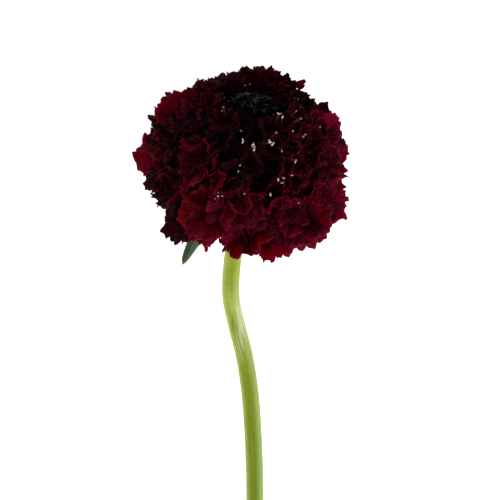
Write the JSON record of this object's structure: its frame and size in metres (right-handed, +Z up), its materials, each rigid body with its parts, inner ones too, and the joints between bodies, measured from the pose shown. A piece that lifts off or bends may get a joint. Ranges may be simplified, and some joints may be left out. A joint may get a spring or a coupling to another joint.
{
  "type": "scabiosa flower",
  "caption": "Cut scabiosa flower lying on a flat surface: a round dark burgundy head of frilled florets, green bracts below it and a bent, ribbed stem.",
  "frame": {"origin": "on the surface that the flower lies on, under the middle of the flower's bounding box", "axes": "+Z up from the surface, +Y along the lying flower from the cut end of the stem to the head, +X to the right as seen from above with the head at the top"},
  "size_m": [0.0634, 0.2061, 0.0574],
  "materials": {
    "stem": "satin yellow-green, fine ribs and short hairs",
    "bracts": "matt grey-green leaf",
    "petals": "velvet dark burgundy, crimson where light comes through",
    "buds": "near-black with grey-green tips"
  },
  "bodies": {
    "root": {"stem": "stem", "bracts": "bracts", "bloom": "petals", "unopened_buds": "buds"}
  },
  "joints": []
}
